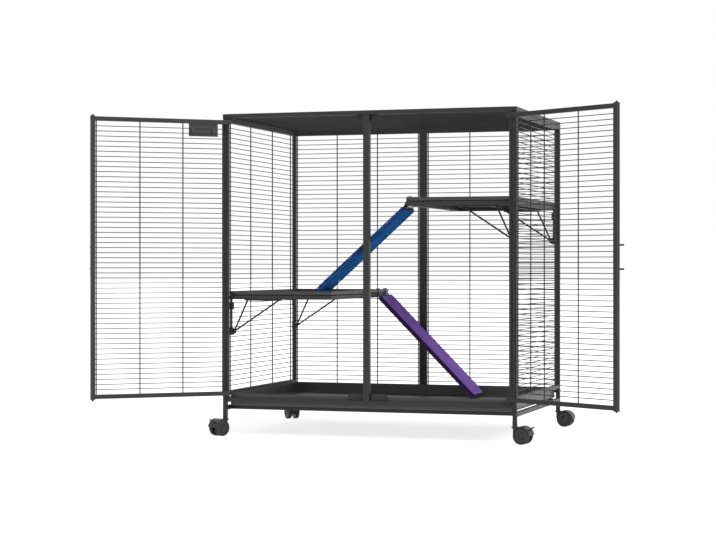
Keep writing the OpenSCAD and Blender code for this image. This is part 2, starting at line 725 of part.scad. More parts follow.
module place_upper_ramp() {
    translate([upper_foot_x, -upper_ramp_y, upper_foot_z]) rotate([0, -upper_slope, 0]) children();
}
module place_lower_ramp() {
    translate([lower_foot_x, lower_ramp_y, lower_foot_z]) mirror([1, 0, 0]) rotate([0, -lower_slope, 0])
        children();
}
module upper_ramp_board() { color([0.55, 0.45, 0.32]) place_upper_ramp() ramp_board(upper_ramp_w, upper_l); }
module upper_ramp_cover() { color([0.08, 0.3, 0.56]) place_upper_ramp() ramp_cover(upper_ramp_w, upper_l); }
module lower_ramp_board() { color([0.55, 0.45, 0.32]) place_lower_ramp() ramp_board(lower_ramp_w, lower_l); }
module lower_ramp_cover() { color([0.45, 0.33, 0.62]) place_lower_ramp() ramp_cover(lower_ramp_w, lower_l); }

// A wire between two points of the XZ plane
module wire_xz(a, b, y, d) {
    run = b[0] - a[0];
    rise = b[1] - a[1];
    translate([a[0], y, a[1]]) rotate([0, atan2(run, rise), 0]) rotate(22.5)
        cylinder(d = d * octagon, h = sqrt(run * run + rise * rise), $fn = 8);
}

// Hooks: two bent wires that run from slots in the board's end over a shelf pan's rim. away is
// the direction from the rim to the ramp, head is the middle of the ramp's upper end.
module ramp_hooks(rim_x, rim_z, away, slope, head, ys) {
    leg_x = rim_x + away * (2 * seat + hook_d / 2);
    in_x = rim_x - away * (pan_t + hook_gap + hook_d / 2);
    top_z = rim_z + seat + hook_d / 2;
    up = [-away * cos(slope), sin(slope)];
    bend = head + up * (leg_x - head[0]) / up[0];
    half = hook_d / 2;
    for (y = ys) union() {
        wire_xz(head - up * (slot_l - 2), bend + up * half / 2, y, hook_d);
        wire_xz(bend, [leg_x, top_z + half], y, hook_d);
        wire_xz([leg_x + away * half, top_z], [in_x - away * half, top_z], y, hook_d);
        wire_xz([in_x, top_z + half], [in_x, rim_z - 8], y, hook_d);
    }
}
function ramp_head(foot, away, slope, l) =
    foot + l * [-away * cos(slope), sin(slope)] + ramp_t / 2 * [away * sin(slope), cos(slope)];
module upper_ramp_hooks() {
    color(steel) ramp_hooks(right_shelf_end, right_rim, -1, upper_slope,
        ramp_head([upper_foot_x, upper_foot_z], -1, upper_slope, upper_l),
        [-upper_ramp_y - hook_y(upper_ramp_w), -upper_ramp_y + hook_y(upper_ramp_w)]);
}
module lower_ramp_hooks() {
    color(steel) ramp_hooks(-left_shelf_end, left_rim, 1, lower_slope,
        ramp_head([lower_foot_x, lower_foot_z], 1, lower_slope, lower_l),
        [lower_ramp_y - hook_y(lower_ramp_w), lower_ramp_y + hook_y(lower_ramp_w)]);
}

// ---------------------------------------------------------------- casters
// A caster's own frame: the swivel axis is Z through the origin, the axle is at +X.
module place_caster(c) {
    i = (c[0] > 0 ? 1 : 0) + (c[1] > 0 ? 2 : 0);
    translate([c[0] * post_x, c[1] * post_y, 0]) rotate([0, 0, headings[i]]) children();
}
module on_axle(y, d, h, sides) {
    translate([trail, y, wheel_d / 2]) rotate([-90, 0, 0]) cylinder(d = d, h = h, $fn = sides);
}

web_gap = 0.4;
web_w = stem_d + 4.4;
wheel_y = web_w / 2 + web_gap;
wheels_y = wheel_y + wheel_t;
hood_in = wheel_d / 2 + 0.6;
hood_out = hood_in + hood_t;
boss_top = caster_h - seat;
boss_r = 10;
stem_z = boss_top - 18;
lever_r = 2.6;
lever_pin = 2;
lever_at = hood_out + lever_r + seat;
lever_angle = 38;

module caster_stems() {
    color(steel) for (c = CORNERS) translate([c[0] * post_x, c[1] * post_y, stem_z])
        cylinder(d = stem_d, h = caster_h + plug_l - stem_z, $fn = 32);
}

module hood(c, brake) {
    color(black) place_caster(c) difference() {
        union() {
            difference() {
                on_axle(-wheels_y - 0.4, 2 * hood_out, 2 * (wheels_y + 0.4), 96);
                on_axle(-wheels_y - 1.4, 2 * hood_in, wheels_y + 1.4 - web_w / 2, 96);
                on_axle(web_w / 2, 2 * hood_in, wheels_y + 1.4 - web_w / 2, 96);
                box([trail - 40, -40, -10], [trail + 40, 40, wheel_d / 2 + 2]);
                box([trail - 40, -40, 0], [boss_r + 1.5, 40, 60]);
            }
            on_axle(-web_w / 2 - 0.1, 22, web_w + 0.2, 48);
            box([0, 0.5 - web_w / 2, wheel_d / 2 + 1], [trail, web_w / 2 - 0.5, boss_top - 3]);
            translate([0, 0, wheel_d / 2 + 1]) cylinder(d = web_w, h = boss_top - wheel_d / 2 - 3, $fn = 48);
            translate([0, 0, boss_top - 4.2]) cylinder(r = boss_r, h = 4.2, $fn = 48);
            if (brake) at_lever() {
                translate([0, -3, 0]) rotate([-90, 0, 0]) cylinder(r = lever_r, h = 6, $fn = 24);
                box([-lever_r - 1.5, -2.8, 0.3 - lever_r], [0, 2.8, lever_r - 0.3]);
            }
        }
        translate([0, 0, stem_z - 1]) cylinder(r = stem_d / 2 + fit, h = 40, $fn = 32);
        on_axle(-web_w, axle_d + 2 * fit, 2 * web_w, 48);
        if (brake) at_lever() translate([0, -4, 0]) rotate([-90, 0, 0])
            cylinder(r = lever_pin / 2 + fit, h = 8, $fn = 24);
    }
}
// The lever's pivot, with +X pointing straight out from the axle
module at_lever() {
    translate([trail, 0, wheel_d / 2]) rotate([0, -lever_angle, 0]) translate([lever_at, 0, 0]) children();
}
module brake(c) {
    cheek = 2;
    y = 3 + seat;
    color(black) place_caster(c) at_lever() union() {
        for (s = [0, 1]) mirror([0, s, 0]) translate([0, y, 0]) rotate([-90, 0, 0])
            cylinder(r = lever_r, h = cheek, $fn = 24);
        for (s = [0, 1]) mirror([0, s, 0]) box([0, y, -1.2], [lever_r + 3, y + cheek, 1.2]);
        box([lever_r + 0.8, -y - cheek - 3, -1.4], [lever_r + 9, y + cheek + 3, 1.4]);
        translate([0, -y - eps, 0]) rotate([-90, 0, 0]) cylinder(d = lever_pin, h = 2 * y + 2 * eps, $fn = 24);
    }
}
module front_left_brake() { brake([-1, -1]); }
module front_right_brake() { brake([1, -1]); }

module axle(c) {
    color(steel) place_caster(c) {
        on_axle(-wheels_y - seat, axle_d, 2 * (wheels_y + seat), 48);
        for (y = [-wheels_y - seat - 1, wheels_y + seat]) on_axle(y, axle_d + 3, 1, 32);
    }
}

module wheels(c) {
    r = wheel_d / 2;
    bevel = 1.5;
    color(black) place_caster(c) for (y = [-wheels_y, wheel_y])
        translate([trail, y, r]) rotate([-90, 0, 0]) difference() {
            union() {
                cylinder(r1 = r - bevel, r2 = r, h = bevel, $fn = 96);
                translate([0, 0, bevel]) cylinder(r = r, h = wheel_t - 2 * bevel, $fn = 96);
                translate([0, 0, wheel_t - bevel]) cylinder(r1 = r, r2 = r - bevel, h = bevel, $fn = 96);
            }
            translate([0, 0, -1]) cylinder(r = axle_d / 2 + fit, h = wheel_t + 2, $fn = 48);
        }
}
module front_left_hood() { hood([-1, -1], true); }
module front_left_axle() { axle([-1, -1]); }
module front_left_wheels() { wheels([-1, -1]); }
module front_right_hood() { hood([1, -1], true); }
module front_right_axle() { axle([1, -1]); }
module front_right_wheels() { wheels([1, -1]); }
module back_left_hood() { hood([-1, 1], false); }
module back_left_axle() { axle([-1, 1]); }
module back_left_wheels() { wheels([-1, 1]); }
module back_right_hood() { hood([1, 1], false); }
module back_right_axle() { axle([1, 1]); }
module back_right_wheels() { wheels([1, 1]); }

corner_posts();
post_plugs();
leg_sockets();
left_side_panel();
right_side_panel();
back_left_panel();
back_right_panel();
roof_panel();
roof_bolts();
panel_bolts();
centre_post();
front_sill();
base_frame();
base_pan();
top_door_stop();
bottom_door_stop();
hinge_plates();
caster_stems();
left_shelf();
left_shelf_pan();
right_shelf();
right_shelf_pan();
shelf_brackets();
shelf_struts();
left_door();
left_hinge_rod();
left_latch_guides();
left_latch_spring();
left_upper_latch_rod();
left_lower_latch_rod();
name_plate();
name_plate_screws();
right_door();
right_hinge_rod();
right_latch_guides();
right_latch_spring();
right_upper_latch_rod();
right_lower_latch_rod();
upper_ramp_board();
upper_ramp_cover();
upper_ramp_hooks();
lower_ramp_board();
lower_ramp_cover();
lower_ramp_hooks();
front_left_hood();
front_left_axle();
front_left_wheels();
front_right_hood();
front_right_axle();
front_right_wheels();
back_left_hood();
back_left_axle();
back_left_wheels();
back_right_hood();
back_right_axle();
back_right_wheels();
front_left_brake();
front_right_brake();
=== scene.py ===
"""Ferret cage: the looks of a two-door wire cage on casters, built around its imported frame.

Laid out as a Blender add-on and run as a script. All places are in the frame's own metres: the
origin is on the floor under the middle of the cage, +X to the right seen from the front, +Y to the
back and +Z up.
"""

import json
import math

import bmesh
import bpy
from bpy.props import FloatProperty, FloatVectorProperty, IntProperty, PointerProperty
from mathutils import Matrix, Vector

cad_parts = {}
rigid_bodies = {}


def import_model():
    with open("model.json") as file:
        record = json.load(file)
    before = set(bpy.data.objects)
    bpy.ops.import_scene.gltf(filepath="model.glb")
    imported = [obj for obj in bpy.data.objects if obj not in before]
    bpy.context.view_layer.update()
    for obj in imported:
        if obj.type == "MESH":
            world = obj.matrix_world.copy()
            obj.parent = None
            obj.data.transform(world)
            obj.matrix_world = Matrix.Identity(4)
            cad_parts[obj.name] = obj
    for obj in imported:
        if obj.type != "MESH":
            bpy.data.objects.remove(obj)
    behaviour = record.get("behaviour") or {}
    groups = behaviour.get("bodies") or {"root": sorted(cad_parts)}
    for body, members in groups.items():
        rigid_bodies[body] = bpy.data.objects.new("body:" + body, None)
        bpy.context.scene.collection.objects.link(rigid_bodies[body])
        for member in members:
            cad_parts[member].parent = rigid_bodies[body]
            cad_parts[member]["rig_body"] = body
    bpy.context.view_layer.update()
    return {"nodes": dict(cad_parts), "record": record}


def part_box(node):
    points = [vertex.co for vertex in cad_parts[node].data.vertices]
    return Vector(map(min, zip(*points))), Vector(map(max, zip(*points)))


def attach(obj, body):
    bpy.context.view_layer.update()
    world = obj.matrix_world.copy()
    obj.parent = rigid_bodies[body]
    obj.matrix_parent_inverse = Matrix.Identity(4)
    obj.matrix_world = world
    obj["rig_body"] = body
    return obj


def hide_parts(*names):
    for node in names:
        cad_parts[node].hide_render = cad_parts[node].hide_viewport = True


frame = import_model()

bl_info = {
    "name": "Ferret Cage Looks",
    "version": (1, 0, 0),
    "blender": (4, 5, 0),
    "location": "View3D > Sidebar > Cage",
    "description": "Finishes, pans, ramp covers, casters and stage of a two-door ferret cage",
    "category": "Object",
}

MM = 0.001
TOUCH = 0.001 * MM  # places closer than this are the same
WELD = 0.002 * MM  # corners of the CAD triangles closer than this are joined
FINEST_EDGE = 0.25 * MM  # shorter edges of small parts stay sharp
FLAT_TURN = math.radians(0.5)  # faces that turn less than this are one flat face
SQUARE_SLACK = 25  # degrees by which an edge that gets rounded may differ from a right angle
SHARP = math.radians(50)
EDGE_STEPS = 2
ARC_STEPS = 6


def linear(code):
    """Linear red, green and blue of an sRGB hex colour such as #4a4a48"""
    parts = [int(code[i:i + 2], 16) / 255 for i in (1, 3, 5)]
    return tuple(p / 12.92 if p <= 0.04045 else ((p + 0.055) / 1.055) ** 2.4 for p in parts)


def colour(name, about, code):
    """A colour setting with its default written as an sRGB hex value"""
    return FloatVectorProperty(
        name=name, description=about, subtype="COLOR", size=3, min=0, max=1, default=linear(code))


def length(name, about, millimetres):
    """A length setting with its default written in millimetres"""
    return FloatProperty(
        name=name, description=about, unit="LENGTH", min=0, precision=5, default=millimetres * MM)


def angle(name, about, degrees):
    """An angle setting with its default written in degrees"""
    return FloatProperty(name=name, description=about, subtype="ANGLE", default=math.radians(degrees))


# ---------------------------------------------------------------- settings
class CageFinish(bpy.types.PropertyGroup):
    """Colours of the cage's finishes"""

    paint: colour("Paint", "Hammered enamel on the tubes and wires", "#323331")
    paint_dark: colour("Paint hollows", "Enamel in the hollows of its hammer pattern", "#222321")
    pan: colour("Base pan", "Formed plastic of the base pan", "#3a3b39")
    # The shelf pans' colour is a darker copy of the base pan's: painted shade of the shelves.
    shelf_pan: colour("Shelf pans", "Formed plastic of the two shelf pans", "#292a28")
    fitting: colour("Fittings", "Moulded nylon of brackets, plugs and guides", "#1f2020")
    caster: colour("Casters", "Moulded nylon of hoods, wheels and brake levers", "#151515")
    tread: colour("Treads", "Softer plastic of the wheels' treads", "#1c1c1b")
    zinc: colour("Zinc plate", "Bolts, springs, stems and hooks", "#8f918f")
    plate: colour("Name plate", "Enamel of the bare name plate", "#2a2b2a")
    board: colour("Ramp board", "Pressed board inside the ramp covers", "#3d352c")
    blue: colour("Blue fleece", "Faces of the upper ramp's cover", "#1a6ab4")
    # The blue and purple gusset colours are darker copies of the fleece: painted shade of the side bands
    # and piping.
    blue_side: colour("Blue gusset", "Side band of the upper ramp's cover", "#12286a")
    purple: colour("Purple fleece", "Faces of the lower ramp's cover", "#7d57ad")
    purple_side: colour("Purple gusset", "Side band of the lower ramp's cover", "#3d2260")
    thread: colour("Thread", "Stitches of both covers", "#1e1c3c")


class CageSizes(bpy.types.PropertyGroup):
    """Sizes of what the looks add to the frame"""

    tube_corner: length("Tube corner", "Outer corner radius of the square tubes", 1.3)
    long_edge: length("Tube edge", "Shortest edge that counts as a tube's corner", 25)
    soft_edge: length("Small edge", "Rounding of plates, blocks and turned ends", 0.45)
    pan_wall: length("Pan wall", "Thickness of a pan's plastic", 2)
    pan_corner: length("Pan corner", "Radius of a pan's upright corners", 5)
    pan_foot: length("Pan foot", "Radius between a pan's floor and walls", 5)
    ramp_thickness: length("Ramp thickness", "Thickness of a covered ramp", 18)
    upper_slope: angle("Upper slope", "Slope of the upper ramp", 42)
    lower_slope: angle("Lower slope", "Slope of the lower ramp", 45.3)
    cover_corner: length("Cover corner", "Radius of a cover's corners, seen from above", 10)
    cover_edge: length("Cover edge", "Depth of a cover's piped seam inside its outline", 3)
    cover_stitch: length("Stitch line", "Depth of a cover's stitched line inside its outline", 13)
    piping: length("Piping", "Thickness of the cord sewn along the covers' edges", 2.6)
    stitch: length("Stitch", "Length of one stitch of the covers", 3.6)
    thread: length("Thread", "Thickness of the covers' thread", 0.8)
    cloth_step: length("Cloth step", "Spacing of the covers' simulated cloth", 4.5)
    puff: length("Puff", "How far a cover's faces may swell", 3.4)
    wheel_width: length("Wheel width", "Thickness of one wheel of a caster", 13)
    wheel_bore: length("Wheel bore", "Radius of a wheel's bore", 3.05)
    plate_rim: length("Plate rim", "Thickness of the name plate's raised rim", 1.6)


class CageStage(bpy.types.PropertyGroup):
    """Camera, floor and light"""

    photo_width: IntProperty(name="Photograph width", description="In pixels", default=716)
    photo_height: IntProperty(name="Photograph height", description="In pixels", default=540)
    focal: FloatProperty(name="Focal length", description="In the photograph's pixels", default=1830.6)
    horizon_row: FloatProperty(name="Horizon", description="Its pixel row in the photograph", default=266.4)
    camera_place: FloatVectorProperty(
        name="Camera", description="Where the camera stands", subtype="TRANSLATION", unit="LENGTH",
        default=(1.6352, -5.4998, 0.5144))
    camera_turn: angle("Camera turn", "How far the camera is turned to the left", 17.76)
    sky: FloatProperty(name="Sky light", description="Strength of the light from all round", default=0.52)
    lamp: FloatProperty(name="Lamp", description="Strength of the soft lamp", default=2.0)
    floor_glow: FloatProperty(
        name="Floor glow", description="What lifts the floor to white where the camera sees it",
        default=0.78)
    floor_size: length("Floor size", "Half the width of the floor", 60000)


class CageSettings(bpy.types.PropertyGroup):
    """All settings of the cage"""

    finish: PointerProperty(type=CageFinish)
    sizes: PointerProperty(type=CageSizes)
    stage: PointerProperty(type=CageStage)


def settings():
    """The cage settings of the current scene"""
    return bpy.context.scene.ferret_cage


# ---------------------------------------------------------------- materials
def add_node(tree, kind, inputs=None, **attributes):
    """Adds a node, sets its attributes, and fills its inputs with values or links"""
    node = tree.nodes.new(kind)
    for name, value in attributes.items():
        setattr(node, name, value)
    for name, value in (inputs or {}).items():
        if isinstance(value, bpy.types.NodeSocket):
            tree.links.new(value, node.inputs[name])
        else:
            node.inputs[name].default_value = value
    return node


def empty_tree(owner):
    """The node tree of a material or a world, with nothing in it"""
    owner.use_nodes = True
    owner.node_tree.nodes.clear()
    return owner.node_tree


def new_material(name):
    """A material with its empty tree and the piece's own coordinates in metres"""
    material = bpy.data.materials.new(name)
    tree = empty_tree(material)
    place = add_node(tree, "ShaderNodeTexCoord").outputs["Object"]
    return material, tree, place


def shade(tree, **sockets):
    """The surface shader, with its sockets named by underscored words, linked to the output"""
    inputs = {name.replace("_", " "): value for name, value in sockets.items()}
    shader = add_node(tree, "ShaderNodeBsdfPrincipled", inputs)
    add_node(tree, "ShaderNodeOutputMaterial", {"Surface": shader.outputs["BSDF"]})


def rgba(values, gain=1.0):
    """A colour with full alpha, lightened or darkened by the gain"""
    return tuple(min(1.0, v * gain) for v in values) + (1.0,)


def grain(tree, place, size, detail, roughness=0.5):
    """Noise whose lumps are about the given size in metres"""
    return add_node(tree, "ShaderNodeTexNoise", {
        "Vector": place, "Scale": 1 / size, "Detail": detail, "Roughness": roughness}).outputs["Fac"]


def spread(tree, value, low, high, out_low=0.0, out_high=1.0):
    """Stretches a value from one range to another"""
    return add_node(tree, "ShaderNodeMapRange", {
        "Value": value, "From Min": low, "From Max": high, "To Min": out_low, "To Max": out_high,
    }).outputs["Result"]


def blend(tree, amount, first, second):
    """A colour between two others"""
    return add_node(tree, "ShaderNodeMix", {
        0: amount, 6: first, 7: second}, data_type="RGBA").outputs[2]


def relief(tree, height, depth, strength):
    """A bump of a real depth in metres"""
    return add_node(tree, "ShaderNodeBump", {
        "Height": height, "Distance": depth, "Strength": strength}).outputs["Normal"]


def hammered_enamel():
    """Hammer-finish stoving enamel on steel: small shallow dimples in a satin charcoal film"""
    material, tree, place = new_material("hammered_enamel_on_steel")
    colours = settings().finish
    # The film draws into dimples about 2.5 mm across and a few hundredths of a millimetre deep.
    cells = add_node(tree, "ShaderNodeTexVoronoi", {
        "Vector": place, "Scale": 1 / (2.5 * MM), "Smoothness": 1.0},
        feature="SMOOTH_F1").outputs["Distance"]
    dimple = spread(tree, cells, 0.1, 0.75)
    cloud = grain(tree, place, 45 * MM, 3)
    tone = blend(tree, dimple, rgba(colours.paint), rgba(colours.paint_dark))
    worn = blend(tree, spread(tree, cloud, 0.35, 0.75, 0.0, 0.35), tone, rgba(colours.paint, 1.35))
    shade(tree, Base_Color=worn, Roughness=spread(tree, cloud, 0.3, 0.7, 0.4, 0.52), IOR=1.45,
          Specular_IOR_Level=0.4, Normal=relief(tree, dimple, 0.05 * MM, 0.6))
    return material


def pan_styrene(name, base):
    """Vacuum-formed styrene of the pans: a faint leather grain with fine claw scuffs"""
    material, tree, place = new_material(name)
    pebble = add_node(tree, "ShaderNodeTexVoronoi", {
        "Vector": place, "Scale": 1 / (1.3 * MM)}, feature="SMOOTH_F1").outputs["Distance"]
    # Scuffs run mostly across the cage, a few centimetres long and about a millimetre wide.
    stretched = add_node(tree, "ShaderNodeMapping", {"Vector": place, "Scale": (30, 900, 900)}).outputs[0]
    scuff = add_node(tree, "ShaderNodeTexNoise", {
        "Vector": stretched, "Scale": 1.0, "Detail": 3.0}).outputs["Fac"]
    marks = spread(tree, scuff, 0.6, 0.78)
    tone = blend(tree, spread(tree, grain(tree, place, 70 * MM, 3), 0.35, 0.7),
                 rgba(base, 0.85), rgba(base, 1.12))
    shade(tree, Base_Color=blend(tree, marks, tone, rgba(base, 1.7)),
          Roughness=spread(tree, marks, 0, 1, 0.42, 0.62), IOR=1.57,
          Normal=relief(tree, pebble, 0.06 * MM, 0.5))
    return material


def moulded_nylon(name, base, gloss):
    """Injection-moulded nylon: spark-eroded grain, a little blotchy where the mould filled last"""
    material, tree, place = new_material(name)
    speck = grain(tree, place, 0.7 * MM, 2)
    flow = grain(tree, place, 14 * MM, 2)
    shade(tree, Base_Color=blend(tree, spread(tree, flow, 0.3, 0.7), rgba(base, 0.8), rgba(base, 1.35)),
          Roughness=spread(tree, flow, 0.3, 0.7, gloss, gloss + 0.14), IOR=1.53,
          Normal=relief(tree, speck, 0.04 * MM, 0.6))
    return material


def zinc_plate():
    """Bright zinc plate on turned and drawn steel: cool grey with faint drawing lines"""
    material, tree, place = new_material("bright_zinc_plate")
    colours = settings().finish
    # Drawing lines run up the part: 0.4 mm apart and a centimetre or two long.
    drawn = add_node(tree, "ShaderNodeMapping", {"Vector": place, "Scale": (2500, 2500, 60)}).outputs[0]
    lines = add_node(tree, "ShaderNodeTexNoise", {
        "Vector": drawn, "Scale": 1.0, "Detail": 2.0}).outputs["Fac"]
    bloom = grain(tree, place, 9 * MM, 3)
    shade(tree, Base_Color=blend(tree, bloom, rgba(colours.zinc, 0.75), rgba(colours.zinc, 1.1)),
          Metallic=1.0, Roughness=spread(tree, lines, 0.3, 0.7, 0.28, 0.45),
          Normal=relief(tree, lines, 0.02 * MM, 0.5))
    return material


def plate_enamel():
    """Smooth satin enamel of the bare name plate"""
    material, tree, place = new_material("satin_enamel_plate")
    colours = settings().finish
    peel = grain(tree, place, 1.8 * MM, 1)
    cloud = grain(tree, place, 20 * MM, 3)
    shade(tree, Base_Color=blend(tree, cloud, rgba(colours.plate, 0.85), rgba(colours.plate, 1.2)),
          Roughness=spread(tree, cloud, 0.3, 0.7, 0.3, 0.42), IOR=1.5,
          Normal=relief(tree, peel, 0.02 * MM, 0.5))
    return material


def fleece(name, base):
    """Brushed polyester fleece: matted nap with pills and a soft sheen at grazing angles"""
    material, tree, place = new_material(name)
    # The nap's tufts are about a millimetre; they are drawn at 2 mm so that they show.
    tuft = grain(tree, place, 2 * MM, 4, 0.7)
    pill = add_node(tree, "ShaderNodeTexVoronoi", {
        "Vector": place, "Scale": 1 / (5 * MM)}, feature="SMOOTH_F1").outputs["Distance"]
    # Patches about 35 mm across are painted lighter: painted sheen where the nap lies another way.
    nap_sheen_patch = grain(tree, place, 35 * MM, 2)
    nap = add_node(tree, "ShaderNodeMath", {
        0: tuft, 1: spread(tree, pill, 0, 0.8, 0.35, 0)}, operation="ADD")
    tone = blend(tree, spread(tree, tuft, 0.3, 0.7), rgba(base, 0.7), rgba(base, 1.25))
    painted_sheen_colour = blend(tree, spread(tree, nap_sheen_patch, 0.4, 0.65, 0, 0.5), tone, rgba(base, 1.4))
    shade(tree, Base_Color=painted_sheen_colour, Roughness=0.95, Sheen_Weight=0.35, Sheen_Roughness=0.45,
          Sheen_Tint=rgba(base, 2.2), Specular_IOR_Level=0.2,
          Normal=relief(tree, nap.outputs[0], 0.8 * MM, 0.75))
    return material


# The wave texture's scale that draws one set of threads 2.4 mm apart. The other set runs askew.
WEAVE_SCALE = 132.6288


def gusset_cloth(name, base):
    """Plain-woven polyester of the side bands and piping: fine crossed threads"""
    material, tree, place = new_material(name)
    # Real threads lie about 0.6 mm apart. They are drawn coarser, so that they show.
    threads = [add_node(tree, "ShaderNodeTexWave", {
        "Vector": place, "Scale": WEAVE_SCALE, "Distortion": 0.6, "Detail": 1.0},
        bands_direction=way).outputs["Fac"] for way in ("DIAGONAL", "Y")]
    weave = add_node(tree, "ShaderNodeMath", {
        0: threads[0], 1: threads[1]}, operation="MULTIPLY").outputs[0]
    tone = blend(tree, weave, rgba(base, 0.75), rgba(base, 1.3))
    shade(tree, Base_Color=tone, Roughness=0.8, Sheen_Weight=0.2, Sheen_Roughness=0.4,
          Specular_IOR_Level=0.3, Normal=relief(tree, weave, 0.25 * MM, 0.6))
    return material


def pressed_board():
    """Tempered wood-fibre board: dark brown, with short fibres lying all ways"""
    material, tree, place = new_material("pressed_fibre_board")
    colours = settings().finish
    fibres = add_node(tree, "ShaderNodeTexNoise", {
        "Vector": place, "Scale": 1 / (1.5 * MM), "Detail": 6.0, "Roughness": 0.75, "Distortion": 1.5,
    }).outputs["Fac"]
    shade(tree, Base_Color=blend(tree, spread(tree, fibres, 0.35, 0.65), rgba(colours.board, 0.6),
                                 rgba(colours.board, 1.25)),
          Roughness=0.8, Normal=relief(tree, fibres, 0.15 * MM, 0.6))
    return material


FINISHES = {
    "paint": hammered_enamel,
    "pan": lambda: pan_styrene("grained_styrene_base_pan", settings().finish.pan),
    "shelf_pan": lambda: pan_styrene("styrene_shelf_pan_painted_shade", settings().finish.shelf_pan),
    "fitting": lambda: moulded_nylon("moulded_nylon_fitting", settings().finish.fitting, 0.45),
    "caster": lambda: moulded_nylon("moulded_nylon_caster", settings().finish.caster, 0.32),
    "tread": lambda: moulded_nylon("soft_plastic_tread", settings().finish.tread, 0.55),
    "zinc": zinc_plate,
    "plate": plate_enamel,
    "board": pressed_board,
    "thread": lambda: gusset_cloth("spun_polyester_thread", settings().finish.thread),
    "blue": lambda: fleece("blue_fleece_nap", settings().finish.blue),
    # The side finishes take the darker gusset colours, which are painted shade.
    "blue_side": lambda: gusset_cloth("blue_gusset_weave_painted_shade", settings().finish.blue_side),
    "purple": lambda: fleece("purple_fleece_nap", settings().finish.purple),
    "purple_side": lambda: gusset_cloth("purple_gusset_weave_painted_shade", settings().finish.purple_side),
}
made_finishes = {}


def finish_of(name):
    """The material of a finish, made once"""
    if name not in made_finishes:
        made_finishes[name] = FINISHES[name]()
    return made_finishes[name]


# The finish of each material slot in the record
SLOT_FINISH = {
    "hammered_charcoal_paint": "paint",
    "dark_grey_pan_plastic": "pan",
    "black_plastic": "fitting",
    "zinc_plated_steel": "zinc",
    "name_plate_enamel": "plate",
    "ramp_board": "board",
    "blue_fleece": "blue",
    "purple_fleece": "purple",
    "caster_plastic": "caster",
}
NODE_SLOT = {s["node"]: s["material_slot"] for s in frame["record"]["subparts"]}


# ---------------------------------------------------------------- modelling helpers
def merged_mesh(node):
    """A bmesh of a CAD node with its loose triangles joined and its flat faces made whole"""
    bm = bmesh.new()
    bm.from_mesh(frame["nodes"][node].data)
    bmesh.ops.remove_doubles(bm, verts=bm.verts, dist=WELD)
    bmesh.ops.dissolve_limit(
        bm, angle_limit=FLAT_TURN, use_dissolve_boundaries=False, verts=bm.verts, edges=bm.edges)
    return bm


def bevel(bm, edges, radius, steps, clamp=False):
    """Rounds the edges, and where clamped by no more than their faces have room for"""
    bmesh.ops.bevel(
        bm, geom=edges, offset=radius, offset_type="OFFSET", affect="EDGES", segments=steps, profile=0.5,
        material=-1, clamp_overlap=clamp)


def round_edges(bm, radius, shortest):
    """Rounds the outer right-angled edges that are at least as long as the shortest"""
    edges = [
        e for e in bm.edges
        if len(e.link_faces) == 2 and e.is_convex and e.calc_length() >= shortest
        and abs(math.degrees(e.calc_face_angle()) - 90) < SQUARE_SLACK]
    bevel(bm, edges, radius, EDGE_STEPS, clamp=True)


def axes(x, y, z):
    """The matrix that turns the X, Y and Z axes to the given ones"""
    return Matrix((x, y, z)).transposed().to_4x4()


def skin(bm, rings):
    """Closes a skin round a loop of equal rings"""
    count = len(rings[0])
    for i, ring in enumerate(rings):
        after = rings[(i + 1) % len(rings)]
        for k in range(count):
            bm.faces.new((ring[k], ring[(k + 1) % count], after[(k + 1) % count], after[k]))


def spun(bm, outline, place, sides=72):
    """Turns a closed outline of radius and height round the Y axis, as a lathe does"""
    skin(bm, [[bm.verts.new(place @ Vector((r * math.cos(t), y, r * math.sin(t)))) for r, y in outline]
              for t in (math.tau * i / sides for i in range(sides))])


def round_loop(low, high, radius, step):
    """Points round a rectangle with rounded corners in the XY plane, about a step apart"""
    points = []
    near, far = [v + radius for v in low], [v - radius for v in high]
    corners = ((far[0], far[1]), (near[0], far[1]), (near[0], near[1]), (far[0], near[1]))
    for turn, centre in enumerate(corners):
        arc = [Vector(centre) + radius * Vector((math.cos(t), math.sin(t))) for t in
               (math.pi / 2 * (turn + i / ARC_STEPS) for i in range(ARC_STEPS + 1))]
        if points:
            points += between(points[-1], arc[0], step)
        points += arc
    return points + between(points[-1], points[0], step)


def between(first, last, step):
    """Evenly spread points between two others"""
    count = max(1, round((last - first).length / step))
    return [first.lerp(last, i / count) for i in range(1, count)]


def cord_round(bm, loop, height, radius, place, sides=8):
    """A round cord laid along a flat loop at a height"""
    rings = []
    for i, point in enumerate(loop):
        along = (loop[(i + 1) % len(loop)] - loop[i - 1]).normalized()
        out = Vector((along.y, -along.x))
        ring = []
        for t in (math.tau * k / sides for k in range(sides)):
            spot = point + radius * math.cos(t) * out
            ring.append(bm.verts.new(place @ Vector((spot.x, spot.y, height + radius * math.sin(t)))))
        rings.append(ring)
    skin(bm, rings)


def mesh_object(name, bm):
    """An object that holds the bmesh, linked to the scene"""
    mesh = bpy.data.meshes.new(name)
    bm.to_mesh(mesh)
    bm.free()
    item = bpy.data.objects.new(name, mesh)
    bpy.context.scene.collection.objects.link(item)
    return item


def baked(item):
    """A bmesh of an object as its modifiers leave it; the object goes"""
    bm = bmesh.new()
    bm.from_object(item, bpy.context.evaluated_depsgraph_get())
    bpy.data.objects.remove(item, do_unlink=True)
    bm.verts.ensure_lookup_table()
    return bm


def shade_smooth(bm):
    """Smooth faces with sharp edges where the surface turns"""
    for face in bm.faces:
        face.smooth = True
    for edge in bm.edges:
        edge.smooth = len(edge.link_faces) == 2 and edge.calc_face_angle() < SHARP


def make_piece(name, bm, body, finish, replaces=(), even=True):
    """Turns a bmesh into a piece that rides on a body and stands for the nodes it replaces"""
    piece = mesh_object(name, bm)
    piece.data.materials.append(finish_of(finish))
    if even:
        shading = piece.modifiers.new("even_shading", "WEIGHTED_NORMAL")
        shading.keep_sharp = True
        shading.weight = 80
    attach(piece, body)
    if replaces:
        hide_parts(*replaces)
    return piece


def body_of(node):
    """The body that a CAD node rides on"""
    return frame["nodes"][node]["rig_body"]


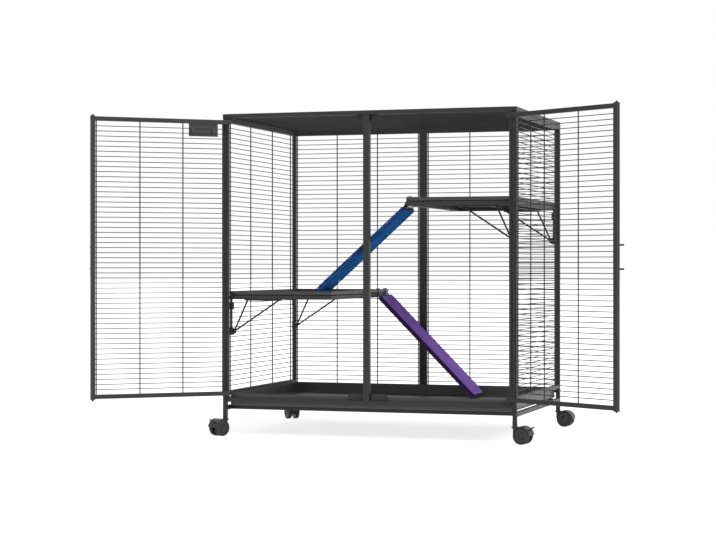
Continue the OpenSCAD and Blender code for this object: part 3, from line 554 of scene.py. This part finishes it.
def dressed(node, radius, shortest):
    """Puts a copy of a CAD node, with rounded edges and even shading, in place of the node"""
    bm = merged_mesh(node)
    round_edges(bm, radius, shortest)
    shade_smooth(bm)
    slot = NODE_SLOT[node]
    make_piece(node + "_shown", bm, body_of(node), SLOT_FINISH[slot], [node])


# ---------------------------------------------------------------- tubes and plates
TUBE_NODES = (
    "corner_posts", "centre_post", "front_sill", "left_side_panel", "right_side_panel",
    "back_left_panel", "back_right_panel", "roof_panel", "base_frame", "left_door", "right_door",
    "left_shelf", "right_shelf")
SMALL_NODES = (
    "leg_sockets", "hinge_plates", "top_door_stop", "bottom_door_stop", "left_latch_guides",
    "right_latch_guides", "shelf_brackets", "shelf_struts", "left_hinge_rod", "right_hinge_rod",
    "left_upper_latch_rod", "left_lower_latch_rod", "right_upper_latch_rod", "right_lower_latch_rod",
    "left_latch_spring", "right_latch_spring", "roof_bolts", "panel_bolts", "name_plate_screws",
    "post_plugs", "caster_stems", "upper_ramp_hooks", "lower_ramp_hooks", "upper_ramp_board",
    "lower_ramp_board", "name_plate")


class CAGE_OT_tubes(bpy.types.Operator):
    """Rounds the tubes of the frame, panels, doors and shelves"""

    bl_idname = "cage.tubes"
    bl_label = "Tubes and mesh"

    def execute(self, context):
        sizes = settings().sizes
        for node in TUBE_NODES:
            dressed(node, sizes.tube_corner, sizes.long_edge)
        return {"FINISHED"}


class CAGE_OT_fittings(bpy.types.Operator):
    """Softens the edges of plates, blocks, rods and fasteners"""

    bl_idname = "cage.fittings"
    bl_label = "Fittings and fasteners"

    def execute(self, context):
        sizes = settings().sizes
        for node in SMALL_NODES:
            dressed(node, sizes.soft_edge, FINEST_EDGE)
        return {"FINISHED"}


# ---------------------------------------------------------------- pans
PAN_CORNER_STEPS, PAN_FOOT_STEPS, PAN_RIM_STEPS = 6, 4, 2
FOOT_SHARE = 0.4  # the most of a pan's depth that its foot radius takes
RIM_SHARE = 0.4  # the rim's rounding as a share of the wall


def pan_mesh(node):
    """A formed tray in the node's box: round upright corners, a soft foot and a rolled rim"""
    sizes = settings().sizes
    low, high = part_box(node)
    middle, size = (low + high) / 2, high - low
    bm = bmesh.new()
    bmesh.ops.create_cube(bm, size=1, matrix=Matrix.Translation(middle) @ Matrix.Diagonal((*size, 1)))
    top = [f for f in bm.faces if f.normal.z > 0.9]
    bmesh.ops.delete(bm, geom=top, context="FACES")
    upright = [e for e in bm.edges if abs((e.verts[0].co - e.verts[1].co).z) > size.z / 2]
    bevel(bm, upright, sizes.pan_corner, PAN_CORNER_STEPS)
    foot = [e for e in bm.edges if len(e.link_faces) == 2 and all(v.co.z < low.z + TOUCH for v in e.verts)
            and any(f.normal.z > -0.5 for f in e.link_faces)]
    bevel(bm, foot, min(sizes.pan_foot, size.z * FOOT_SHARE), PAN_FOOT_STEPS)
    bmesh.ops.recalc_face_normals(bm, faces=bm.faces)
    bmesh.ops.solidify(bm, geom=list(bm.faces), thickness=sizes.pan_wall)
    rim = [e for e in bm.edges if all(abs(v.co.z - high.z) < TOUCH for v in e.verts)
           and abs(e.calc_face_angle(0) - math.pi / 2) < 0.3]
    bevel(bm, rim, sizes.pan_wall * RIM_SHARE, PAN_RIM_STEPS)
    shade_smooth(bm)
    return bm


class CAGE_OT_pans(bpy.types.Operator):
    """Forms the base pan and the two shelf pans"""

    bl_idname = "cage.pans"
    bl_label = "Pans"

    def execute(self, context):
        # The shelf pans take the darker copy of the pan colour, which is painted shade.
        for node, finish in (
                ("base_pan", "pan"), ("left_shelf_pan", "shelf_pan"), ("right_shelf_pan", "shelf_pan")):
            make_piece(node + "_formed", pan_mesh(node), body_of(node), finish, [node])
        return {"FINISHED"}


# ---------------------------------------------------------------- ramps
SEAM_SLACK = 1.2 * MM  # how far past its piped seam the gusset's weave still shows
PRESSURE = 4
FULLNESS = 0.05  # by how much the cover is cut full, so that it puckers along its stitches
MOMENTS = 20
STITCH_PITCH = 1.5  # from one stitch to the next, in stitch lengths


def ramp_place(node, slope, away):
    """Length, width and placing matrix of a ramp: away is the side its foot points to"""
    low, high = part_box(node)
    thickness = settings().sizes.ramp_thickness
    run = (high.z - low.z - thickness * math.cos(slope)) / math.sin(slope)
    width = high.y - low.y
    if away < 0:
        foot_x = low.x + thickness * math.sin(slope)
    else:
        foot_x = high.x - thickness * math.sin(slope)
    foot = Vector((foot_x, (low.y + high.y) / 2, low.z))
    up = Vector((-away * math.cos(slope), 0, math.sin(slope)))
    out = Vector((away * math.sin(slope), 0, math.cos(slope)))
    return run, width, Matrix.Translation(foot) @ axes(up, out.cross(up), out)


def depth_inside(point, run, width):
    """How far a point of a ramp lies inside the cover's rounded outline, seen from above"""
    radius = settings().sizes.cover_corner
    x = abs(point.x - run / 2) - run / 2 + radius
    y = abs(point.y) - width / 2 + radius
    return radius - Vector((max(x, 0), max(y, 0))).length - min(max(x, y), 0)


def inset_loop(run, width, inset, radius, step):
    """Points round a ramp at a depth inside its outline, seen from above"""
    return round_loop((inset, inset - width / 2), (run - inset, width / 2 - inset), radius, step)


def seam_loop(run, width):
    """Points along a cover's piped seam"""
    sizes = settings().sizes
    edge = sizes.cover_edge
    return inset_loop(run, width, edge, sizes.cover_corner - edge, sizes.cloth_step)


def seam_heights():
    """Heights of a cover's lower and upper seam above the ramp's underside"""
    sizes = settings().sizes
    return sizes.puff, sizes.ramp_thickness - sizes.puff


def cover_form(run, width):
    """The cover before it is filled: a flat box, thinner than the padded cover, with round corners"""
    loop = seam_loop(run, width)
    bm = bmesh.new()
    faces = []
    for height in seam_heights():
        faces.append(bm.faces.new([bm.verts.new((*p, height)) for p in loop]))
    bottom, top = (list(f.verts) for f in faces)
    for k in range(len(loop)):
        after = (k + 1) % len(loop)
        bm.faces.new((bottom[k], bottom[after], top[after], top[k]))
    bmesh.ops.recalc_face_normals(bm, faces=bm.faces)
    return bm


def filled_cover(run, width):
    """The cover swollen as cloth under pressure, held along its piped seams and its stitched lines"""
    sizes = settings().sizes
    item = mesh_object("cover_form", cover_form(run, width))
    grid = item.modifiers.new("even_cloth", "REMESH")
    grid.mode = "VOXEL"
    grid.voxel_size = sizes.cloth_step
    bm = baked(item)
    # The band between the two piped seams is gusset; the cloth keeps the order of the faces.
    seam = sizes.cover_edge + SEAM_SLACK
    band = [depth_inside(f.calc_center_median(), run, width) < seam for f in bm.faces]
    before = [v.co.copy() for v in bm.verts]
    half_step = sizes.cloth_step / 2
    middle = sizes.ramp_thickness / 2
    held = []
    for i, point in enumerate(before):
        depth = depth_inside(point, run, width)
        on_face = abs(point.z - middle) > middle - sizes.puff - half_step
        piped = depth < sizes.cover_edge + half_step
        stitched = abs(depth - sizes.cover_stitch) < half_step
        if on_face and (piped or stitched):
            held.append(i)
    item = mesh_object("cover_cloth", bm)
    item.vertex_groups.new(name="held").add(held, 1.0, "REPLACE")
    cloth = item.modifiers.new("filled", "CLOTH").settings
    cloth.use_pressure = True
    cloth.uniform_pressure_force = PRESSURE
    cloth.effector_weights.gravity = 0
    cloth.vertex_group_mass = "held"
    cloth.shrink_min = -FULLNESS
    moments = MOMENTS
    for moment in range(1, moments + 1):
        bpy.context.scene.frame_set(moment)
    bm = baked(item)
    bpy.context.scene.frame_set(1)
    for old, vert in zip(before, bm.verts):
        move = vert.co - old
        if move.length > sizes.puff:
            vert.co = old + move * (sizes.puff / move.length)
        vert.co.z = min(max(vert.co.z, 0), sizes.ramp_thickness)
    for face, side in zip(bm.faces, band):
        face.smooth = True
        face.material_index = int(side)
    return bm


def sewn_cover(node, run, width, place, tone):
    """Makes the filled cover a padded piece with fleece faces and a woven side band"""
    bm = filled_cover(run, width)
    bmesh.ops.transform(bm, matrix=place, verts=bm.verts)
    piece = make_piece(node + "_sewn", bm, body_of(node), tone, [node], even=False)
    # The side band takes the darker gusset colour: painted shade.
    piece.data.materials.append(finish_of(tone + "_side"))
    smooth = piece.modifiers.new("soft", "SUBSURF")
    smooth.levels = smooth.render_levels = 1


def piping(run, width, place):
    """Round cords along both piped seams"""
    bm = bmesh.new()
    loop = seam_loop(run, width)
    for height in seam_heights():
        cord_round(bm, loop, height, settings().sizes.piping / 2, place)
    bmesh.ops.recalc_face_normals(bm, faces=bm.faces)
    shade_smooth(bm)
    return bm


def stitches(run, width, place):
    """Lockstitches sunk along the cover's stitched lines, on both faces"""
    sizes = settings().sizes
    bm = bmesh.new()
    loop = inset_loop(run, width, sizes.cover_stitch, sizes.cover_corner / 2, sizes.stitch * STITCH_PITCH)
    size = Matrix.Diagonal((sizes.stitch / 2, sizes.thread / 2, sizes.thread / 2, 1))
    for i, point in enumerate(loop):
        gap = point - loop[i - 1]
        if gap.length < sizes.stitch:
            continue
        along = gap.normalized().to_3d()
        turn = axes(along, Vector((-along.y, along.x, 0)), Vector((0, 0, 1)))
        for height in seam_heights():
            centre = Matrix.Translation((*point, height))
            bmesh.ops.create_icosphere(bm, subdivisions=1, radius=1, matrix=place @ centre @ turn @ size)
    shade_smooth(bm)
    return bm


class CAGE_OT_ramps(bpy.types.Operator):
    """Covers the ramps with padded, piped and stitched sleeves"""

    bl_idname = "cage.ramps"
    bl_label = "Ramp covers"

    def execute(self, context):
        sizes = settings().sizes
        for level, slope, away, tone in (
                ("upper", sizes.upper_slope, -1, "blue"), ("lower", sizes.lower_slope, 1, "purple")):
            node = level + "_ramp_cover"
            body, slot = body_of(node), NODE_SLOT[node]
            run, width, place = ramp_place(node, slope, away)
            sewn_cover(node, run, width, place, tone)
            # The piping takes the darker gusset colour: painted shade.
            make_piece(level + "_ramp_piping", piping(run, width, place), body, tone + "_side")
            make_piece(level + "_ramp_stitches", stitches(run, width, place), body, "thread")
        return {"FINISHED"}


# ---------------------------------------------------------------- casters
CASTERS = ("front_left", "front_right", "back_left", "back_right")
BRAKED = CASTERS[:2]
JOINTS = {joint["name"]: joint for joint in frame["record"]["behaviour"]["joints"]}

# A round of a wheel's edge: its size, and how far its middle point lies in from the corner
INNER_ROUND = (2 * MM, 0.6 * MM)
OUTER_ROUND = (2.4 * MM, 0.7 * MM)
# Grooves of the tread: places as shares of its width, then half widths at the top and at the foot
WHEEL_GROOVES = (0.34, 0.6)
GROOVE_TOP, GROOVE_FOOT, GROOVE_DEPTH = 0.7 * MM, 0.4 * MM, 0.8 * MM
# Rings of a wheel's face as shares of its radius, and how deep they lie
RIM_IN, DISH_OUT, DISH_IN, HUB_EDGE, HUB_TOP = 0.82, 0.78, 0.42, 0.36, 0.32
DISH_OUT_DEPTH, DISH_IN_DEPTH, HUB_EDGE_DEPTH = 2.2 * MM, 2.8 * MM, 0.4 * MM
TREAD_SHARE = 0.8  # of the radius: what lies further out is tread


def wheel_outline(radius, inner, outer, bore):
    """Radius and height of a wheel's skin: grooved tread, dished outer face and raised hub"""
    size, middle = INNER_ROUND
    outline = [(bore, inner), (radius - size, inner), (radius - middle, inner + middle),
               (radius, inner + size)]
    for share in WHEEL_GROOVES:
        y = inner + share * (outer - inner)
        outline += [(radius, y - GROOVE_TOP), (radius - GROOVE_DEPTH, y - GROOVE_FOOT),
                    (radius - GROOVE_DEPTH, y + GROOVE_FOOT), (radius, y + GROOVE_TOP)]
    size, middle = OUTER_ROUND
    return outline + [
        (radius, outer - size), (radius - middle, outer - middle), (radius - size, outer),
        (radius * RIM_IN, outer), (radius * DISH_OUT, outer - DISH_OUT_DEPTH),
        (radius * DISH_IN, outer - DISH_IN_DEPTH), (radius * HUB_EDGE, outer - HUB_EDGE_DEPTH),
        (radius * HUB_TOP, outer), (bore, outer)]


def turned_wheels(corner):
    """Both wheels of a caster, lathed round their axle"""
    sizes = settings().sizes
    joint = JOINTS[corner + "_wheel_spin"]
    centre, axle = Vector(joint["pos_m"]), Vector(joint["axis"]).normalized()
    up = Vector((0, 0, 1))
    place = axes(axle.cross(up), axle, up)
    place.translation = centre
    across = [(place.inverted() @ v.co).y for v in frame["nodes"][corner + "_wheels"].data.vertices]
    outer = max(across)
    bm = bmesh.new()
    outline = wheel_outline(centre.z, outer - sizes.wheel_width, outer, sizes.wheel_bore)
    spun(bm, outline, place)
    spun(bm, [(r, -y) for r, y in outline], place)
    bmesh.ops.recalc_face_normals(bm, faces=bm.faces)
    for face in bm.faces:
        spot = place.inverted() @ face.calc_center_median()
        face.material_index = int(math.hypot(spot.x, spot.z) > TREAD_SHARE * centre.z)
    shade_smooth(bm)
    return bm


class CAGE_OT_casters(bpy.types.Operator):
    """Finishes the casters' hoods, wheels, axles and brake levers"""

    bl_idname = "cage.casters"
    bl_label = "Casters"

    def execute(self, context):
        edge = settings().sizes.soft_edge
        for corner in CASTERS:
            for part in ("hood", "axle"):
                dressed(corner + "_" + part, edge, FINEST_EDGE)
            node = corner + "_wheels"
            piece = make_piece(
                node + "_turned", turned_wheels(corner), body_of(node), "caster", [node])
            piece.data.materials.append(finish_of("tread"))
        for corner in BRAKED:
            dressed(corner + "_brake", edge, FINEST_EDGE)
        return {"FINISHED"}


# ---------------------------------------------------------------- name plate
RIM_CORNER, RIM_STEP = 3 * MM, 4 * MM


class CAGE_OT_plate(bpy.types.Operator):
    """Gives the bare name plate a raised rim"""

    bl_idname = "cage.plate"
    bl_label = "Name plate rim"

    def execute(self, context):
        sizes = settings().sizes
        joint = JOINTS["left_door_hinge"]
        x, y, _ = joint["pos_m"]
        opened = Matrix.Rotation(-math.radians(joint["range_deg"][0]), 4, "Z")
        door = Matrix.Translation((x, y, 0)) @ Matrix.Diagonal((-1, 1, 1, 1)) @ opened
        corners = [door.inverted() @ v.co for v in frame["nodes"]["name_plate"].data.vertices]
        low, high = ([pick(c[i] for c in corners) for i in range(3)] for pick in (min, max))
        # The rim's own XY plane is the plate's face, so its Z is turned to the door's -Y.
        face = Matrix(((1, 0, 0, 0), (0, 0, -1, low[1]), (0, 1, 0, 0), (0, 0, 0, 1)))
        bm = bmesh.new()
        half = sizes.plate_rim / 2
        loop = round_loop(
            (low[0] + half, low[2] + half), (high[0] - half, high[2] - half), RIM_CORNER, RIM_STEP)
        cord_round(bm, loop, 0, half, door @ face)
        bmesh.ops.recalc_face_normals(bm, faces=bm.faces)
        shade_smooth(bm)
        make_piece("name_plate_rim", bm, body_of("name_plate"), "plate")
        return {"FINISHED"}


# ---------------------------------------------------------------- stage
WHITE = (1, 1, 1, 1)
FLOOR_PAINT = (0.6, 0.6, 0.6, 1)
LAMP_WIDTH = math.radians(35)
LAMP_TILT, LAMP_TURN = math.radians(50), math.radians(58)
SENSOR_WIDTH = 36  # millimetres


def seen_rays(tree):
    """1 for the rays that the camera sends, straight or by way of gloss and glass, else 0"""
    path = add_node(tree, "ShaderNodeLightPath")
    both = add_node(tree, "ShaderNodeMath", {
        0: path.outputs["Is Camera Ray"], 1: path.outputs["Is Glossy Ray"]}, operation="MAXIMUM").outputs[0]
    return add_node(tree, "ShaderNodeMath", {
        0: both, 1: path.outputs["Is Transmission Ray"]}, operation="MAXIMUM").outputs[0]


def studio_world(stage):
    """Even white light from all round, at full white where it is seen"""
    world = bpy.data.worlds.new("studio_white")
    tree = empty_tree(world)
    strength = add_node(tree, "ShaderNodeMapRange", {
        "Value": seen_rays(tree), "To Min": stage.sky, "To Max": 1.0}).outputs["Result"]
    sky = add_node(tree, "ShaderNodeBackground", {"Color": WHITE, "Strength": strength})
    add_node(tree, "ShaderNodeOutputWorld", {"Surface": sky.outputs[0]})
    bpy.context.scene.world = world


def pale_floor(stage):
    """Matt white floor, lifted to white where it is seen so that only shadows show"""
    bm = bmesh.new()
    bmesh.ops.create_grid(bm, x_segments=1, y_segments=1, size=stage.floor_size)
    floor = mesh_object("floor", bm)
    material = bpy.data.materials.new("matt_white_floor")
    tree = empty_tree(material)
    glow = add_node(tree, "ShaderNodeMath", {0: seen_rays(tree), 1: stage.floor_glow}, operation="MULTIPLY")
    paint = add_node(tree, "ShaderNodeBsdfPrincipled", {
        "Base Color": FLOOR_PAINT, "Roughness": 1.0, "Specular IOR Level": 0.0,
        "Emission Color": WHITE, "Emission Strength": glow.outputs[0]})
    add_node(tree, "ShaderNodeOutputMaterial", {"Surface": paint.outputs[0]})
    floor.data.materials.append(material)


def soft_lamp(stage):
    """One wide soft lamp from the upper right in front"""
    light = bpy.data.lights.new("soft_lamp", "SUN")
    light.energy = stage.lamp
    light.angle = LAMP_WIDTH
    lamp = bpy.data.objects.new("soft_lamp", light)
    lamp.rotation_euler = (LAMP_TILT, 0, LAMP_TURN)
    bpy.context.scene.collection.objects.link(lamp)


def photo_camera(stage):
    """The camera at the photograph's place, level, with the photograph's horizon"""
    lens = bpy.data.cameras.new("photo_camera")
    lens.sensor_width = SENSOR_WIDTH
    lens.lens = stage.focal * lens.sensor_width / stage.photo_width
    lens.shift_y = (stage.horizon_row - stage.photo_height / 2) / stage.photo_width
    camera = bpy.data.objects.new("photo_camera", lens)
    camera.location = stage.camera_place
    camera.rotation_euler = (math.pi / 2, 0, stage.camera_turn)
    bpy.context.scene.collection.objects.link(camera)
    bpy.context.scene.camera = camera


class CAGE_OT_stage(bpy.types.Operator):
    """Sets the camera, floor and light"""

    bl_idname = "cage.stage"
    bl_label = "Stage"

    def execute(self, context):
        stage = settings().stage
        context.scene.view_settings.view_transform = "Standard"
        photo_camera(stage)
        studio_world(stage)
        pale_floor(stage)
        soft_lamp(stage)
        return {"FINISHED"}


# ---------------------------------------------------------------- add-on
STEPS = (
    CAGE_OT_stage, CAGE_OT_tubes, CAGE_OT_fittings, CAGE_OT_pans, CAGE_OT_ramps, CAGE_OT_casters,
    CAGE_OT_plate)


class CAGE_PT_steps(bpy.types.Panel):
    """Lists the steps that dress the cage"""

    bl_label = "Ferret cage"
    bl_space_type = "VIEW_3D"
    bl_region_type = "UI"
    bl_category = "Cage"

    def draw(self, context):
        for step in STEPS:
            self.layout.operator(step.bl_idname)


CLASSES = (CageFinish, CageSizes, CageStage, CageSettings, *STEPS, CAGE_PT_steps)


def register():
    """Registers the classes and hangs the settings on the scene"""
    for item in CLASSES:
        bpy.utils.register_class(item)
    bpy.types.Scene.ferret_cage = PointerProperty(type=CageSettings)


def unregister():
    """Takes the settings and the classes away again"""
    del bpy.types.Scene.ferret_cage
    for item in reversed(CLASSES):
        bpy.utils.unregister_class(item)


def main():
    """Dresses the cage step by step"""
    register()
    for step in STEPS:
        group, name = step.bl_idname.split(".")
        getattr(getattr(bpy.ops, group), name)()


if __name__ == "__main__":
    main()
